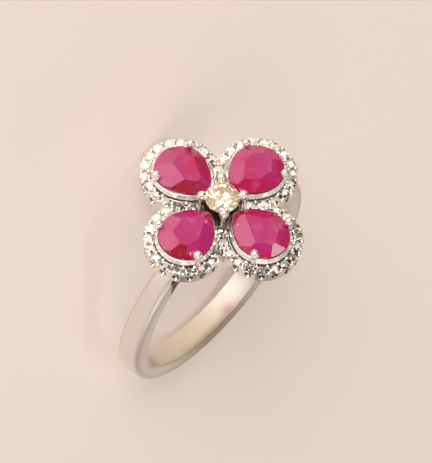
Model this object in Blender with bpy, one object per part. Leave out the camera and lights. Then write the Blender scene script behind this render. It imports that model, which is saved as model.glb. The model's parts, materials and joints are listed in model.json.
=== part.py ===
"""A white gold cluster ring: four pear rubies and a round diamond in a scalloped halo.

Metres, +Z up. The ring is built in its own frame first: the finger's centre at the origin,
the flower looking along +Z, the petals on the diagonals of X and Y. The band runs under the
+X+Y and -X-Y petals. An empty then lays the whole ring on its side, as it lies by itself:
on the back petal's rim and on the edge of the band, with its base at z = 0.
"""
import math

import bmesh
import bpy
from mathutils import Matrix, Vector

# Band
FINGER_DIAMETER = 0.0174
BAND_WIDTH = 0.0021             # along the finger, at the back of the band
BAND_WIDTH_AT_HEAD = 0.0017
BAND_THICKNESS = 0.00165
BAND_THICKNESS_AT_HEAD = 0.00146
BAND_INNER_EDGE = 0.00012       # the small chamfer on each inner edge
BAND_OUTER_EDGE = 0.00030       # how far the outer edges are rounded down
# The outer edge's rounding, a row for each point: shares of BAND_OUTER_EDGE down and in.
BAND_EDGE_ROWS = ((1.0, 0.0), (0.35, 0.45), (0.08, 1.4))
TAPER_START = 80                # degrees from the back of the band, where it starts to narrow

# Rubies, seen from above
PEAR_LENGTH = 0.00505
PEAR_WIDTH = 0.0043
PETAL_GAP = 0.00178             # between the round ends of two neighbouring rubies
PEAR_ROUND_ANGLE = 108          # degrees each side of the axis that the round end spans

# Rubies, seen from the side
GIRDLE_THICKNESS = 0.0001
RUBY_TABLE_RISE = 0.00062       # table above the girdle
RUBY_CROWN_SLOPE = 30
RUBY_GIRDLE_SLOPE = 40
RUBY_PAVILION_SLOPE = 38
RUBY_LOWER_SLOPE = 47
RUBY_LOWER_INSET = 0.00005      # keeps the lower girdle facets off the girdle's edge
RUBY_MAINS = (0, 45, 90, 132, 180, 228, 270, 315)
RUBY_BETWEEN = (22, 67, 112, 150, 210, 248, 293, 338)
RUBY_LOWERS = (11, 34, 56, 79, 101, 124, 143, 165, 195, 217, 236, 259, 281, 304, 326, 349)
BLANK_MARGIN = 1.2              # how much deeper a stone's blank is than the cut stone

# Centre diamond
CENTRE_DIAMETER = 0.00276
CENTRE_TABLE_SHARE = 0.57
CENTRE_CROWN_SLOPE = 34.5
CENTRE_UPPER_SLOPE = 41
CENTRE_STAR_SLOPE = 22
CENTRE_PAVILION_SLOPE = 40.8
CENTRE_LOWER_SLOPE = 42

# Heights, each counted from the thing below it
HALO_ABOVE_FINGER = 0.00118     # underside of the halo above the finger hole
HALO_THICKNESS = 0.0010
RUBY_ABOVE_HALO = 0.00060       # ruby girdle above the halo's top
CENTRE_ABOVE_HALO = 0.00124     # centre diamond's girdle above the halo's top

# Collets and baskets
COLLET_WALL = 0.00024           # outside the ruby's outline
COLLET_BELOW_GIRDLE = 0.00010
SEAT_DEPTH = 0.00030
SEAT_WIDTH = 0.00022            # inside the ruby's outline
COLLET_GAP = 0.00010            # dark line between collet and halo
BASKET_DEPTH = 0.00095
BASKET_TAPER = 0.00095
BASKET_WALL = 0.00032           # at the basket's foot

# Halo
HALO_ROW_WIDTH = 0.00076
HALO_FLANGE = 0.00030           # the part of the thickness that joins the collets
NOTCH_RADIUS = 0.00024
SCALLOP_RADIUS = 0.00027
SCALLOP_DROP = 0.00042          # from the halo's top to the middle of a scallop
SCALLOP_DEPTH = 0.00022
SCALLOP_BOTTOM_SHARE = 0.7      # a scallop's radius at its bottom, against its mouth
SCALLOP_SIDES = 6
MELEE_RADIUS = 0.00036
MELEE_TABLE_RADIUS = 0.00022
MELEE_RISE = 0.00017
MELEE_SINK = 0.00003            # how far the crown's edge lies below the halo's top
MELEE_PITCH = 0.00098
MELEE_SIDES = 8
BEAD_RADIUS = 0.00014
BEAD_TOP_RADIUS = 0.00008
BEAD_RISE = 0.00013
BEAD_SINK = 0.00006
BEAD_FROM_ROW = 0.00026
BEAD_SIDES = 5
VALLEY_STONES = 2

# Claws
CLAW_RADIUS = 0.00020
CLAW_BALL_RADIUS = 0.00029
CLAW_CLEARANCE = 0.00012        # from a girdle to the claw beside it
CLAW_BALL_ROWS = (-15, 20, 50, 75)   # degrees of latitude on the ball
CLAW_STRAIGHT_SHARE = 0.55      # the lower share of a claw that doesn't lean
RUBY_CLAW_ANGLE = 66.5          # degrees from the petal's axis, round the round end
RUBY_CLAW_RISE = 0.00045        # ball's centre above the girdle's top
RUBY_CLAW_OVERHANG = 0.00024    # from the claw's axis to its ball, towards the stone
CENTRE_CLAW_RISE = 0.00026
CENTRE_CLAW_OVERHANG = 0.00004
CLAW_SIDES = 8

# Gallery
BRIDGE_RADIUS = 0.00033
BRIDGE_CLEARANCE = 0.00012      # above the finger hole
BRIDGE_END_DROP = 0.00048       # the wire's ends below the halo
# The bridge wire, a row for each station: shares of the baskets' reach and of the wire's rise.
BRIDGE_ROWS = ((-1.1, 1.0), (-1.0, 0.35), (-0.8, 0.0), (0.8, 0.0), (1.0, 0.35), (1.1, 1.0))
BRIDGE_SIDES = 8
SEAT_BLOCK_LENGTH = 0.0010
SEAT_BLOCK_WIDTH = 0.0013
SEAT_BLOCK_INSET = 0.0002       # inside the end of the basket's foot
SEAT_BLOCK_DROP = 0.00057       # the block's top below the halo

ROUND_STEPS = 18                # steps round a pear's round end
SIDE_STEPS = 4                  # steps along each of its sides
RIM_STEPS = 25                  # odd, so that a flat facet looks straight out of each petal
NOTCH_STEPS = 4
BAND_STEPS = 64
SMOOTH_ANGLE = 40               # edges sharper than this stay crisp
OVERCUT = 0.0002

PETALS = {"north_east": 45, "north_west": 135, "south_west": 225, "south_east": 315}

finger_radius = FINGER_DIAMETER / 2
halo_bottom = finger_radius + HALO_ABOVE_FINGER
halo_top = halo_bottom + HALO_THICKNESS
ruby_girdle = halo_top + RUBY_ABOVE_HALO
centre_girdle = halo_top + CENTRE_ABOVE_HALO
pear_radius = PEAR_WIDTH / 2
pear_middle = (PEAR_WIDTH + PETAL_GAP) * math.sqrt(0.5)   # of the round end, from the centre
window_offset = COLLET_WALL + COLLET_GAP
row_radius = pear_radius + window_offset + HALO_ROW_WIDTH / 2
rim_radius = pear_radius + window_offset + HALO_ROW_WIDTH


def polar(radius, degrees):
    """A point at a distance and an angle from the origin."""
    angle = math.radians(degrees)
    return radius * math.cos(angle), radius * math.sin(angle)


def pear(offset=0.0):
    """A pear's outline along +X: a round end, two arcs and a point, grown by an offset."""
    turn = math.radians(PEAR_ROUND_ANGLE)
    reach = PEAR_LENGTH - pear_radius
    extra = (reach ** 2 - pear_radius ** 2) / (2 * (pear_radius + reach * math.cos(turn)))
    side_x = pear_middle - extra * math.cos(turn)
    side_y = -extra * math.sin(turn)
    side_radius = pear_radius + extra + offset
    end_radius = pear_radius + offset
    last = math.pi - math.asin(-side_y / side_radius)
    points = []
    for step in range(ROUND_STEPS + 1):
        angle = -turn + 2 * turn * step / ROUND_STEPS
        points.append((pear_middle + end_radius * math.cos(angle), end_radius * math.sin(angle)))
    for step in range(1, SIDE_STEPS + 1):
        angle = turn + (last - turn) * step / SIDE_STEPS
        points.append((side_x + side_radius * math.cos(angle), side_y + side_radius * math.sin(angle)))
    for x, y in reversed(points[ROUND_STEPS + 1:-1]):
        points.append((x, -y))
    return points


def add_loft(mesh, loops, closed=False):
    """Joins loops of equal length with quads, and caps the first and the last one."""
    rings = [[mesh.verts.new(point) for point in loop] for loop in loops]
    count = len(rings[0])
    pairs = list(zip(rings, rings[1:]))
    if closed:
        pairs.append((rings[-1], rings[0]))
    for low, high in pairs:
        for i in range(count):
            j = (i + 1) % count
            mesh.faces.new((low[i], low[j], high[j], high[i]))
    if not closed:
        mesh.faces.new(list(reversed(rings[0])))
        mesh.faces.new(rings[-1])


def add_turned(mesh, profile, sides, place, turn=0.0):
    """A turned solid from rows of radius and height, put in place by a matrix."""
    loops = []
    for radius, height in profile:
        loop = []
        for side in range(sides):
            x, y = polar(radius, turn + 360 * side / sides)
            loop.append(place @ Vector((x, y, height)))
        loops.append(loop)
    add_loft(mesh, loops)


def level(outline, height):
    """An outline lifted to a height."""
    return [Vector((x, y, height)) for x, y in outline]


def turned_about_z(loops, degrees):
    """Loops turned about the flower's axis."""
    turn = Matrix.Rotation(math.radians(degrees), 4, "Z")
    return [[turn @ point for point in loop] for loop in loops]


def finish(mesh, name):
    """Turns a bmesh into an object with its faces pointing out."""
    bmesh.ops.recalc_face_normals(mesh, faces=mesh.faces)
    data = bpy.data.meshes.new(name)
    mesh.to_mesh(data)
    mesh.free()
    item = bpy.data.objects.new(name, data)
    bpy.context.collection.objects.link(item)
    return item


def combine(target, tools, operation):
    """Joins tools to a target, or cuts them away, in one Boolean, and removes the tools."""
    together = bpy.data.collections.new("tools")
    for tool in tools:
        together.objects.link(tool)
    modifier = target.modifiers.new(operation.lower(), "BOOLEAN")
    modifier.operation = operation
    modifier.operand_type = "COLLECTION"
    modifier.collection = together
    bpy.context.view_layer.update()
    evaluated = target.evaluated_get(bpy.context.evaluated_depsgraph_get())
    result = bpy.data.meshes.new_from_object(evaluated)
    target.modifiers.remove(modifier)
    target.data = result
    for tool in tools:
        bpy.data.objects.remove(tool)
    bpy.data.collections.remove(together)


def material(name, colour, roughness, metallic):
    """A plain Principled material."""
    item = bpy.data.materials.new(name)
    item.use_nodes = True
    shader = item.node_tree.nodes["Principled BSDF"]
    shader.inputs["Base Color"].default_value = (*colour, 1)
    shader.inputs["Roughness"].default_value = roughness
    shader.inputs["Metallic"].default_value = metallic
    return item


def band():
    """The band: one closed section carried round the finger, narrower towards the head."""
    mesh = bmesh.new()
    loops = []
    for step in range(BAND_STEPS):
        from_head = 360 * (step + 0.5) / BAND_STEPS
        from_back = abs(180 - from_head)
        share = max(0.0, (from_back - TAPER_START) / (180 - TAPER_START))
        share = share * share * (3 - 2 * share)
        half = (BAND_WIDTH + (BAND_WIDTH_AT_HEAD - BAND_WIDTH) * share) / 2
        thickness = BAND_THICKNESS + (BAND_THICKNESS_AT_HEAD - BAND_THICKNESS) * share
        outer = finger_radius + thickness
        side = [(finger_radius, half - BAND_INNER_EDGE), (finger_radius + BAND_INNER_EDGE, half)]
        for down, inward in BAND_EDGE_ROWS:
            side.append((outer - down * BAND_OUTER_EDGE, half - inward * BAND_OUTER_EDGE))
        section = side + [(radius, -across) for radius, across in reversed(side)]
        # The band lies in the plane through +Z and the +X+Y diagonal.
        angle = math.radians(from_head)
        loop = []
        for radius, across in section:
            along = radius * math.sin(angle)
            x = (along + across) * math.sqrt(0.5)
            y = (along - across) * math.sqrt(0.5)
            loop.append(Vector((x, y, radius * math.cos(angle))))
        loops.append(loop)
    add_loft(mesh, loops, closed=True)
    return finish(mesh, "ring_mount")


def halo_outline():
    """The rim seen from above: a large arc round each petal and a small one in each notch."""
    reach = pear_middle * math.sqrt(0.5)
    notch_x = reach + math.sqrt((rim_radius + NOTCH_RADIUS) ** 2 - reach ** 2)
    lean = math.degrees(math.atan2(reach, notch_x - reach))
    points = []
    for quarter in range(4):
        outline = []
        first = -(lean + 45)
        for step in range(RIM_STEPS + 1):
            x, y = polar(rim_radius, first + 2 * (lean + 45) * step / RIM_STEPS)
            outline.append((pear_middle + x, y))
        middle = polar(notch_x, 45)
        for step in range(1, NOTCH_STEPS):
            x, y = polar(NOTCH_RADIUS, 225 + lean - 2 * lean * step / NOTCH_STEPS)
            outline.append((middle[0] + x, middle[1] + y))
        turn = math.radians(45 + 90 * quarter)
        for x, y in outline:
            points.append((x * math.cos(turn) - y * math.sin(turn), x * math.sin(turn) + y * math.cos(turn)))
    return points


def halo_plate():
    """The quatrefoil frame with a stepped window for each ruby."""
    mesh = bmesh.new()
    outline = halo_outline()
    add_loft(mesh, [level(outline, halo_bottom), level(outline, halo_top)])
    plate = finish(mesh, "halo_plate")
    mesh = bmesh.new()
    step = halo_bottom + HALO_FLANGE
    for degrees in PETALS.values():
        loops = [
            level(pear(), halo_bottom - OVERCUT),
            level(pear(), step),
            level(pear(window_offset), step),
            level(pear(window_offset), halo_top + OVERCUT),
        ]
        add_loft(mesh, turned_about_z(loops, degrees))
    combine(plate, [finish(mesh, "windows")], "DIFFERENCE")
    combine(plate, [scallops()], "DIFFERENCE")
    return plate


def collets():
    """Four pear-shaped walls with a seat at the top and a tapered open basket below."""
    mesh = bmesh.new()
    top = ruby_girdle - COLLET_BELOW_GIRDLE
    foot = halo_bottom - BASKET_DEPTH
    for degrees in PETALS.values():
        loops = [
            level(pear(COLLET_WALL), top),
            level(pear(), top),
            level(pear(-SEAT_WIDTH), top - SEAT_DEPTH),
            level(pear(-SEAT_WIDTH), halo_bottom),
            level(pear(-SEAT_WIDTH - BASKET_TAPER), foot),
            level(pear(BASKET_WALL - SEAT_WIDTH - BASKET_TAPER), foot),
            level(pear(COLLET_WALL), halo_bottom + HALO_FLANGE / 2),
        ]
        add_loft(mesh, turned_about_z(loops, degrees), closed=True)
    return finish(mesh, "collets")


def row_places():
    """Where the halo's stones sit: x, y and the direction of the row, once for each petal."""
    half_pitch = MELEE_PITCH / 2
    reach = pear_middle
    value = (half_pitch / math.sqrt(0.5) - reach) / (row_radius * math.sqrt(2))
    end = math.degrees(math.acos(value)) - 45
    count = 1 + round(math.radians(2 * end) * row_radius / MELEE_PITCH)
    places = []
    for step in range(count):
        angle = -end + 2 * end * step / (count - 1)
        x, y = polar(row_radius, angle)
        places.append((reach + x, y, angle + 90))
    return places


def valley_places():
    """The single row in each valley, from the split inwards, along +X."""
    x, y, _ = row_places()[-1]
    split = (x + y) * math.sqrt(0.5)
    first = split - math.sqrt(max(MELEE_PITCH ** 2 - (MELEE_PITCH / 2) ** 2, 0.0))
    return [first - MELEE_PITCH * step for step in range(VALLEY_STONES)]


def on_flower(x, y, degrees):
    """A place on the halo's top, turned about the flower's axis."""
    turn = Matrix.Rotation(math.radians(degrees), 4, "Z")
    return turn @ Matrix.Translation((x, y, halo_top))


def scallops():
    """The cuts in the rim's outer wall, one under each stone that looks out past the notches."""
    mesh = bmesh.new()
    start = HALO_ROW_WIDTH / 2 - SCALLOP_DEPTH
    mouth = HALO_ROW_WIDTH / 2 + OVERCUT
    profile = [(SCALLOP_RADIUS * SCALLOP_BOTTOM_SHARE, start), (SCALLOP_RADIUS, mouth)]
    tilt = Matrix.Rotation(math.radians(90), 4, "Y")
    drop = Matrix.Translation((0, 0, -SCALLOP_DROP))
    for x, y, along in row_places():
        out_x, out_y = polar(mouth, along - 90)
        to_neighbour = math.hypot(x + out_x, abs(y + out_y) - pear_middle)
        if to_neighbour < rim_radius + SCALLOP_RADIUS:
            continue
        outward = Matrix.Rotation(math.radians(along - 90), 4, "Z")
        for degrees in PETALS.values():
            place = on_flower(x, y, degrees) @ drop @ outward @ tilt
            add_turned(mesh, profile, SCALLOP_SIDES, place)
    return finish(mesh, "scallops")


def melee():
    """The halo's small diamonds: a table and eight crown facets each."""
    mesh = bmesh.new()
    profile = [(MELEE_RADIUS, -MELEE_SINK), (MELEE_TABLE_RADIUS, MELEE_RISE)]
    half_side = 180 / MELEE_SIDES
    for degrees in PETALS.values():
        for x, y, along in row_places():
            add_turned(mesh, profile, MELEE_SIDES, on_flower(x, y, degrees), along + half_side)
        for x in valley_places():
            add_turned(mesh, profile, MELEE_SIDES, on_flower(x, 0, degrees + 45), half_side)
    return finish(mesh, "melee")


def beads():
    """Two grains between each pair of neighbouring stones, on either side of the row."""
    mesh = bmesh.new()
    profile = [(BEAD_RADIUS, -BEAD_SINK), (BEAD_TOP_RADIUS, BEAD_RISE)]
    for degrees in PETALS.values():
        row = row_places()
        for first, last in zip(row, row[1:]):
            angle = (first[2] + last[2]) / 2 - 90
            for side in (-1, 1):
                x, y = polar(row_radius + side * BEAD_FROM_ROW, angle)
                place = on_flower(pear_middle + x, y, degrees)
                add_turned(mesh, profile, BEAD_SIDES, place, angle)
        for x in valley_places():
            for side in (-1, 1):
                place = on_flower(x - MELEE_PITCH / 2, side * BEAD_FROM_ROW, degrees + 45)
                add_turned(mesh, profile, BEAD_SIDES, place)
    return finish(mesh, "beads")


def claw_profile(foot, ball):
    """A round claw from its foot up, ending in a ball."""
    size = CLAW_BALL_RADIUS
    neck = math.sqrt(size ** 2 - CLAW_RADIUS ** 2)
    profile = [(CLAW_RADIUS, foot), (CLAW_RADIUS, ball - neck)]
    for degrees in CLAW_BALL_ROWS:
        radius, height = polar(size, degrees)
        profile.append((radius, ball + height))
    return profile


def add_claw(mesh, x, y, inward, overhang, foot, ball):
    """A claw whose ball leans over the stone: the shaft is sheared towards it at the top."""
    loops = []
    for radius, height in claw_profile(foot, ball):
        share = (height - foot) / (ball - foot)
        lean = (share - CLAW_STRAIGHT_SHARE) / (1 - CLAW_STRAIGHT_SHARE)
        lean = overhang * min(max(lean, 0.0), 1.0)
        shift_x, shift_y = polar(lean, inward)
        loop = []
        for side in range(CLAW_SIDES):
            across_x, across_y = polar(radius, 360 * side / CLAW_SIDES)
            loop.append(Vector((x + shift_x + across_x, y + shift_y + across_y, height)))
        loops.append(loop)
    add_loft(mesh, loops)


def claws():
    """Eight ruby claws on the round ends and four centre claws in the valleys."""
    mesh = bmesh.new()
    foot = halo_bottom + HALO_FLANGE / 2
    shaft = CLAW_CLEARANCE + CLAW_RADIUS
    for degrees in PETALS.values():
        for angle in (-RUBY_CLAW_ANGLE, RUBY_CLAW_ANGLE):
            x, y = polar(pear_radius + shaft, angle)
            spot = Matrix.Rotation(math.radians(degrees), 4, "Z") @ Vector((pear_middle + x, y, 0))
            inward = degrees + angle + 180
            ball = ruby_girdle + GIRDLE_THICKNESS + RUBY_CLAW_RISE
            add_claw(mesh, spot.x, spot.y, inward, RUBY_CLAW_OVERHANG, foot, ball)
        x, y = polar(CENTRE_DIAMETER / 2 + shaft, degrees + 45)
        ball = centre_girdle + GIRDLE_THICKNESS + CENTRE_CLAW_RISE
        add_claw(mesh, x, y, degrees + 225, CENTRE_CLAW_OVERHANG, foot, ball)
    return finish(mesh, "claws")


def bridge():
    """The wire under the two petals that overhang the band, turned up at both ends."""
    mesh = bmesh.new()
    low = finger_radius + BRIDGE_CLEARANCE + BRIDGE_RADIUS
    high = halo_bottom - BRIDGE_END_DROP
    reach = pear_middle + pear_radius - BASKET_TAPER
    loops = []
    for reach_share, rise_share in BRIDGE_ROWS:
        along = reach_share * reach
        height = low + rise_share * (high - low)
        loop = []
        for side in range(BRIDGE_SIDES):
            across, rise = polar(BRIDGE_RADIUS, 360 * (side + 0.5) / BRIDGE_SIDES)
            x = (along + across) * math.sqrt(0.5)
            y = (across - along) * math.sqrt(0.5)
            loop.append(Vector((x, y, height + rise)))
        loops.append(loop)
    add_loft(mesh, loops)
    return finish(mesh, "bridge")


def shoulder_seats():
    """A block on each shoulder of the band that carries the basket above it."""
    mesh = bmesh.new()
    outer = finger_radius + BAND_THICKNESS_AT_HEAD
    end = pear_middle + pear_radius - BASKET_TAPER - SEAT_BLOCK_INSET
    middle = end - SEAT_BLOCK_LENGTH / 2
    low = math.sqrt(outer ** 2 - end ** 2) - BAND_THICKNESS_AT_HEAD / 2
    high = halo_bottom - SEAT_BLOCK_DROP
    half_length = SEAT_BLOCK_LENGTH / 2
    half_width = SEAT_BLOCK_WIDTH / 2
    outline = [
        (middle - half_length, -half_width),
        (middle + half_length, -half_width),
        (middle + half_length, half_width),
        (middle - half_length, half_width),
    ]
    for degrees in (45, 225):
        add_loft(mesh, turned_about_z([level(outline, low), level(outline, high)], degrees))
    return finish(mesh, "shoulder_seats")


def slice_off(mesh, point, normal):
    """Cuts a convex stone with a plane and closes the cut with one flat facet."""
    parts = mesh.verts[:] + mesh.edges[:] + mesh.faces[:]
    cut = bmesh.ops.bisect_plane(
        mesh, geom=parts, dist=1e-8, plane_co=point, plane_no=normal, clear_outer=True
    )
    edges = [item for item in cut["geom_cut"] if isinstance(item, bmesh.types.BMEdge)]
    if edges:
        bmesh.ops.contextual_create(mesh, geom=edges)


def cut_stone(name, outline, girdle, table_rise, depth, facets):
    """A stone cut from a blank: rows of facets with their side, slope, inset and directions."""
    mesh = bmesh.new()
    low = girdle - depth
    high = girdle + GIRDLE_THICKNESS + table_rise
    add_loft(mesh, [level(outline, low), level(outline, high)])
    bmesh.ops.recalc_face_normals(mesh, faces=mesh.faces)
    for side, slope, inset, directions in facets:
        edge = girdle + GIRDLE_THICKNESS if side > 0 else girdle
        for direction in directions:
            across = Vector((*polar(1, direction), 0))
            reach = max(across.dot(Vector((x, y, 0))) for x, y in outline) - inset
            flat, rise = polar(1, 90 - slope)
            normal = across * flat + Vector((0, 0, side * rise))
            slice_off(mesh, across * reach + Vector((0, 0, edge)), normal)
    return finish(mesh, name)


def ruby(name, degrees):
    """A pear ruby: a large table, eight main facets, and small ones along the girdle."""
    facets = [
        (1, RUBY_CROWN_SLOPE, 0.0, RUBY_MAINS),
        (1, RUBY_GIRDLE_SLOPE, 0.0, RUBY_BETWEEN),
        (-1, RUBY_PAVILION_SLOPE, 0.0, RUBY_MAINS),
        (-1, RUBY_LOWER_SLOPE, RUBY_LOWER_INSET, RUBY_LOWERS),
    ]
    depth = pear_radius * math.tan(math.radians(RUBY_PAVILION_SLOPE)) * BLANK_MARGIN
    stone = cut_stone(name, pear(), ruby_girdle, RUBY_TABLE_RISE, depth, facets)
    stone.data.transform(Matrix.Rotation(math.radians(degrees), 4, "Z"))
    return stone


def centre_stone():
    """A round brilliant: table, stars, mains and halves above, mains and halves below."""
    radius = CENTRE_DIAMETER / 2
    table = radius * CENTRE_TABLE_SHARE
    rise = (radius - table) * math.tan(math.radians(CENTRE_CROWN_SLOPE))
    depth = radius * math.tan(math.radians(CENTRE_PAVILION_SLOPE)) * BLANK_MARGIN
    mains = [45 * step for step in range(8)]
    stars = [22.5 + 45 * step for step in range(8)]
    halves = [11.25 + 22.5 * step for step in range(16)]
    star_reach = table * math.cos(math.radians(22.5)) + rise / math.tan(math.radians(CENTRE_STAR_SLOPE))
    facets = [
        (1, CENTRE_CROWN_SLOPE, 0.0, mains),
        (1, CENTRE_STAR_SLOPE, radius - star_reach, stars),
        (1, CENTRE_UPPER_SLOPE, 0.0, halves),
        (-1, CENTRE_PAVILION_SLOPE, 0.0, mains),
        (-1, CENTRE_LOWER_SLOPE, 0.0, halves),
    ]
    outline = [polar(radius, 11.25 * step) for step in range(32)]
    return cut_stone("centre_diamond", outline, centre_girdle, rise, depth, facets)


def mount():
    """The whole soldered metalwork with its halo of small diamonds, as one solid."""
    whole = band()
    pieces = [shoulder_seats(), bridge(), halo_plate(), collets(), claws(), melee(), beads()]
    combine(whole, pieces, "UNION")
    whole.data.shade_smooth()
    whole.data.set_sharp_from_angle(angle=math.radians(SMOOTH_ANGLE))
    return whole


def lie_down(items):
    """Lays the ring on its side: tipped until rim and band touch the ground together."""
    rest = bpy.data.objects.new("resting_pose", None)
    bpy.context.collection.objects.link(rest)
    side = Vector((math.sqrt(0.5), -math.sqrt(0.5), 0))
    rim = Vector((-(pear_middle + rim_radius), halo_bottom))
    back = Vector((-BAND_WIDTH / 2, -(finger_radius + BAND_THICKNESS - BAND_OUTER_EDGE)))
    tip = math.atan2(back.x - rim.x, rim.y - back.y)
    up = side * math.cos(tip) + Vector((0, 0, math.sin(tip)))
    front = side * math.sin(tip) - Vector((0, 0, math.cos(tip)))
    right = front.cross(up)
    turn = Matrix((right, front, up)).to_4x4()
    for item in items:
        item.parent = rest
    points = [turn @ vertex.co for item in items for vertex in item.data.vertices]
    low = Vector([min(point[axis] for point in points) for axis in range(3)])
    high = Vector([max(point[axis] for point in points) for axis in range(3)])
    middle = (low + high) / 2
    rest.matrix_world = Matrix.Translation((-middle.x, -middle.y, -low.z)) @ turn


def main():
    """Builds the ring in an empty scene."""
    for item in list(bpy.data.objects):
        bpy.data.objects.remove(item)
    gold = material("white_gold", (0.80, 0.77, 0.73), 0.12, 1.0)
    red = material("ruby", (0.62, 0.03, 0.18), 0.05, 0.0)
    champagne = material("centre_diamond", (0.90, 0.82, 0.62), 0.03, 0.0)
    items = [mount()]
    items[0].data.materials.append(gold)
    for name, degrees in PETALS.items():
        stone = ruby("ruby_" + name, degrees)
        stone.data.materials.append(red)
        items.append(stone)
    stone = centre_stone()
    stone.data.materials.append(champagne)
    items.append(stone)
    lie_down(items)


main()
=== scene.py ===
import itertools
import json
import math

import bmesh
import bpy
import numpy as np
from mathutils import Matrix, Vector


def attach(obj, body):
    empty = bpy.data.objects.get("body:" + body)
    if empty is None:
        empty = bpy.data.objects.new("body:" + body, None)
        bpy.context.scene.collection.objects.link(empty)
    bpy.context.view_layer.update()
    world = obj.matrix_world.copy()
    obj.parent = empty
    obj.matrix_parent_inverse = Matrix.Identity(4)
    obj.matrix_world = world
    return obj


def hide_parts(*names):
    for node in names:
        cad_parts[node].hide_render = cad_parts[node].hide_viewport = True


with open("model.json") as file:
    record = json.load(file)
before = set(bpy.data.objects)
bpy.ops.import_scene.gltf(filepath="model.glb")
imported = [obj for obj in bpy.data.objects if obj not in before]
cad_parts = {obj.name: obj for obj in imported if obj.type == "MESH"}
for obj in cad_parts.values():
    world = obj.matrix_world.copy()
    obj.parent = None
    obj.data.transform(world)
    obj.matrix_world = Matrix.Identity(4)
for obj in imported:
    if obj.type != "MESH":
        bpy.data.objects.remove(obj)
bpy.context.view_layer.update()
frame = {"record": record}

metre = 0.001    # the dictionaries below hold millimetres; this turns them into metres
diagonal = math.sqrt(0.5)    # what a step along a diagonal adds on each of the two flat axes

# The ring's own frame: the finger's centre at the origin, the flower along +Z, petals on the diagonals.
ring = {
    "fingerRadius": 8.70,
    "haloBottom": 9.88,
    "haloTop": 10.88,
    "rubyGirdle": 11.48,
    "centreGirdle": 12.12,
    "girdle": 0.10,
    "pearRadius": 2.15,
    "pearMiddle": 4.30,
    "pearReach": 2.90,       # from the round end's centre to the tip
    "pearTurn": 108.0,       # degrees each side that the round end spans
    "windowOffset": 0.34,
    "rowRadius": 2.87,
    "rimRadius": 3.25,
    "notchRadius": 0.24,
    "stonePitch": 0.98,
    "valleyStones": 2,
    "valleyPitch": 1.14,
    "valleySize": 1.12,
}
petals = {"north_east": 45.0, "north_west": 135.0, "south_west": 225.0, "south_east": 315.0}
toValley = 45.0              # degrees from a petal to the valley after it

# Where the ring lies is read from the frame's mount on the band's flat side.
sideMount = frame["record"]["mounts"][0]
mountOnRing = {"across": 1.05, "fromFinger": 9.43}
acrossWorld = np.array(sideMount["axis"])
outWorld = np.array([0.0, -acrossWorld[2], acrossWorld[1]])
alongWorld = np.array([-1.0, 0.0, 0.0])
fingerCentre = (
    np.array(sideMount["pos_m"])
    - acrossWorld * mountOnRing["across"] * metre
    + outWorld * mountOnRing["fromFinger"] * metre
)


def stacked(*values):
    # coordinates side by side; single numbers are repeated as often as needed
    return np.stack(np.broadcast_arrays(*values), axis=-1)


def onCircle(radius, angle, *more):
    return stacked(radius * np.cos(angle), radius * np.sin(angle), *more)


def steps(start, end, count):
    # evenly spaced values from just after the start to the end
    return np.linspace(start, end, count + 1)[1:]


def lengths(vectors):
    return np.linalg.norm(vectors, axis=-1)


def smooth(share):
    # a smooth step from 0 to 1
    return share * share * (3 - 2 * share)


def bell(value, middle, spread):
    return np.exp(-(((value - middle) / spread) ** 2))


def fullTurn(count):
    return np.arange(count) * 2 * math.pi / count


def turnsAbout(axis, angles):
    # one turning matrix for each angle, about a single axis
    first, second = (axis + 1) % 3, (axis + 2) % 3
    turns = np.zeros((len(angles), 3, 3))
    turns[:, axis, axis] = 1
    turns[:, first, first] = np.cos(angles)
    turns[:, second, second] = np.cos(angles)
    turns[:, second, first] = np.sin(angles)
    turns[:, first, second] = -np.sin(angles)
    return turns


def turned(points, degrees):
    # points turned about the flower's axis
    return np.asarray(points, float) @ turnsAbout(2, np.radians([degrees]))[0].T


def toWorld(points):
    # ring frame to world: the +X+Y diagonal runs along the band, the +X-Y diagonal across it
    x, y, out = np.moveaxis(np.asarray(points, float), -1, 0)[..., None]
    along = (x + y) * diagonal
    across = (x - y) * diagonal
    return fingerCentre + (along * alongWorld + across * acrossWorld + out * outWorld) * metre


def asGrid(points, wrapRows=False):
    # a grid of points as a list, with the four-sided faces between its rows and columns; the
    # last column always joins the first, the last row only if asked
    rowCount, columnCount = points.shape[:2]
    row, column = np.divmod(np.arange((rowCount if wrapRows else rowCount - 1) * columnCount), columnCount)
    start, nextStart = row * columnCount, (row + 1) % rowCount * columnCount
    nextColumn = (column + 1) % columnCount
    faces = stacked(start + column, start + nextColumn, nextStart + nextColumn, nextStart + column)
    return points.reshape(-1, 3), faces


def joined(parts):
    # several (points, faces) pairs as one pair
    points, faces, start = [], [], 0
    for somePoints, someFaces in parts:
        points.append(somePoints)
        faces.append(someFaces + start)
        start += len(somePoints)
    return np.concatenate(points), np.concatenate(faces)


def onPetals(points, faces):
    return joined([(turned(points, degrees), faces) for degrees in petals.values()])


def addLayer(mesh, name, values, domain="POINT"):
    # an attribute: one number or one colour for each point or face
    values = np.asarray(values, np.float32)
    kind, label = ("FLOAT", "value") if values.ndim == 1 else ("FLOAT_VECTOR", "vector")
    mesh.attributes.new(name, kind, domain).data.foreach_set(label, values.ravel())


def newObject(name, data):
    made = bpy.data.objects.new(name, data)
    bpy.context.scene.collection.objects.link(made)
    return made


def placePiece(name, mesh, material, node):
    mesh.materials.append(material)
    piece = newObject(name, mesh)
    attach(piece, "root")
    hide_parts(node)
    print("made", name, len(mesh.polygons), "faces")


def cleaned(mesh, closed=True):
    # doubles merged and, on a closed mesh, the faces turned outwards
    work = bmesh.new()
    work.from_mesh(mesh)
    bmesh.ops.remove_doubles(work, verts=work.verts, dist=2e-7)
    bmesh.ops.dissolve_degenerate(work, edges=work.edges, dist=1e-7)
    if closed:
        bmesh.ops.recalc_face_normals(work, faces=work.faces)
    work.to_mesh(mesh)
    work.free()


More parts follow.
